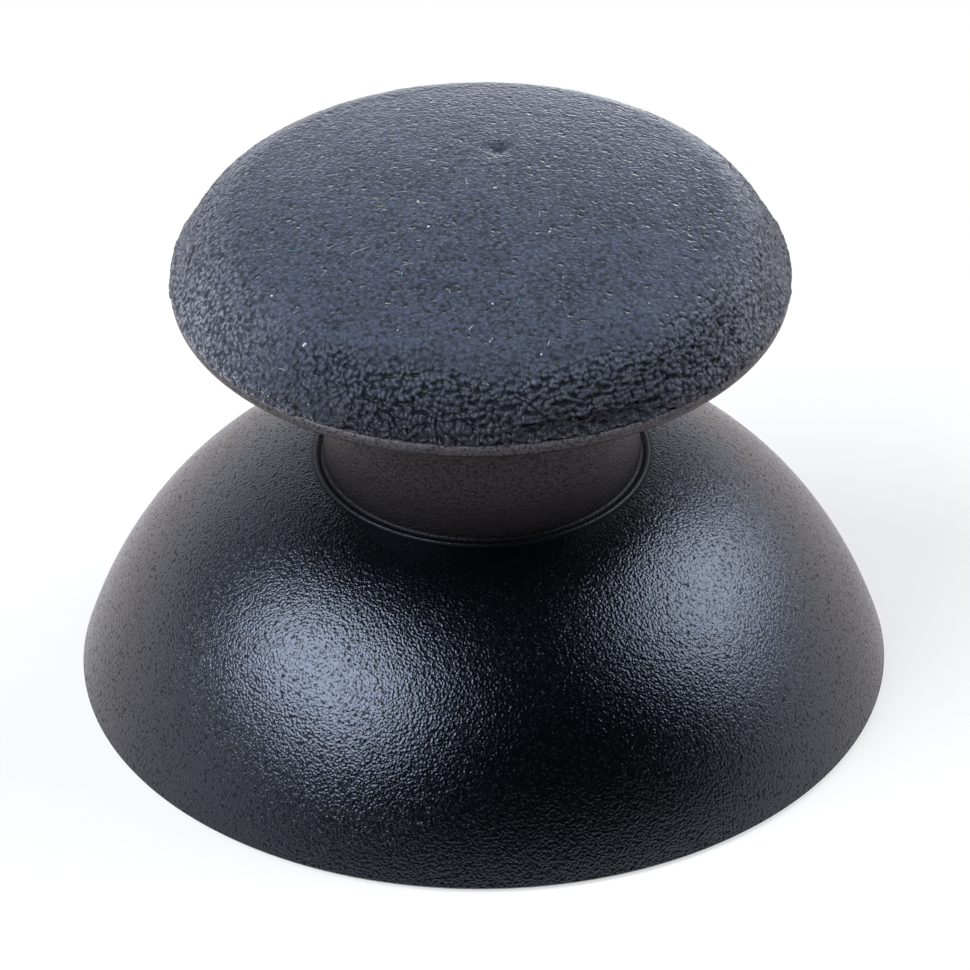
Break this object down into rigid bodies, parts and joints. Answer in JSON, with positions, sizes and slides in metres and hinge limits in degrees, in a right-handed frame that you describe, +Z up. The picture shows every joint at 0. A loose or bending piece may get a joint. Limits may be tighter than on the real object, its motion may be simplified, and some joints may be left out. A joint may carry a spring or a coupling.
{
  "type": "thumbstick cap",
  "caption": "Thumbstick cap for a game controller: a hollow domed skirt, a round neck and a thumb rest covered in grainy rubber, with a flat-sided socket for the stem underneath.",
  "frame": {"origin": "on the cap's axis, in the plane of the skirt's rim, which is the face it rests on", "axes": "+Z up along the stick's axis, from the rim to the thumb rest; the socket's two flats face +X and -X"},
  "size_m": [0.024, 0.024, 0.0164],
  "materials": {
    "hard_plastic": "satin near-black moulded plastic with a fine spark-eroded grain",
    "grip_rubber": "matt blue-grey rubber, pitted and pebbled all over, with pale dust specks"
  },
  "bodies": {
    "root": {"cap_body": "hard_plastic", "rubber_grip": "grip_rubber"}
  },
  "joints": []
}
